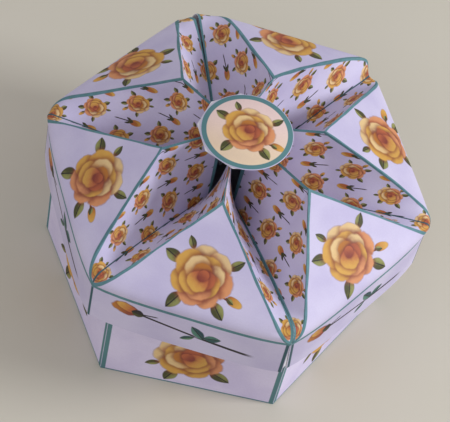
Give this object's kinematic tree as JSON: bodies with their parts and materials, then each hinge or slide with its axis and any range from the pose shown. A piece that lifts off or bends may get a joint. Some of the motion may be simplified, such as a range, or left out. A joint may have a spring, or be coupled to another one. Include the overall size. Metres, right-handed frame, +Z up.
{
  "type": "paper gift box",
  "caption": "Six-sided folded card gift box with a lift-off lid whose top is a sunken star of kites and triangles under a round medallion.",
  "frame": {"origin": "middle of the tray's floor, on the table", "axes": "+Z up through the middle of the lid, +X towards a corner of the box, -Y towards the side that the picture shows from the front"},
  "size_m": [0.1209, 0.112, 0.0711],
  "materials": {
    "tray_card": "matte print of roses on lilac-white card",
    "lid_card": "matte print of roses and teal lines on lilac-white card",
    "plain_card": "matte, unprinted",
    "medallion_card": "matte print of a rose in a teal ring"
  },
  "bodies": {
    "tray": {"tray": "tray_card"},
    "lid": {"lid_right_half": "lid_card", "lid_left_half": "lid_card", "lid_backing": "plain_card", "lid_medallion": "medallion_card"}
  },
  "joints": [
    {"name": "lid_lift", "type": "slide", "parent": "tray", "child": "lid", "axis": [0, 0, 1], "range_m": [0, 0.06]}
  ]
}
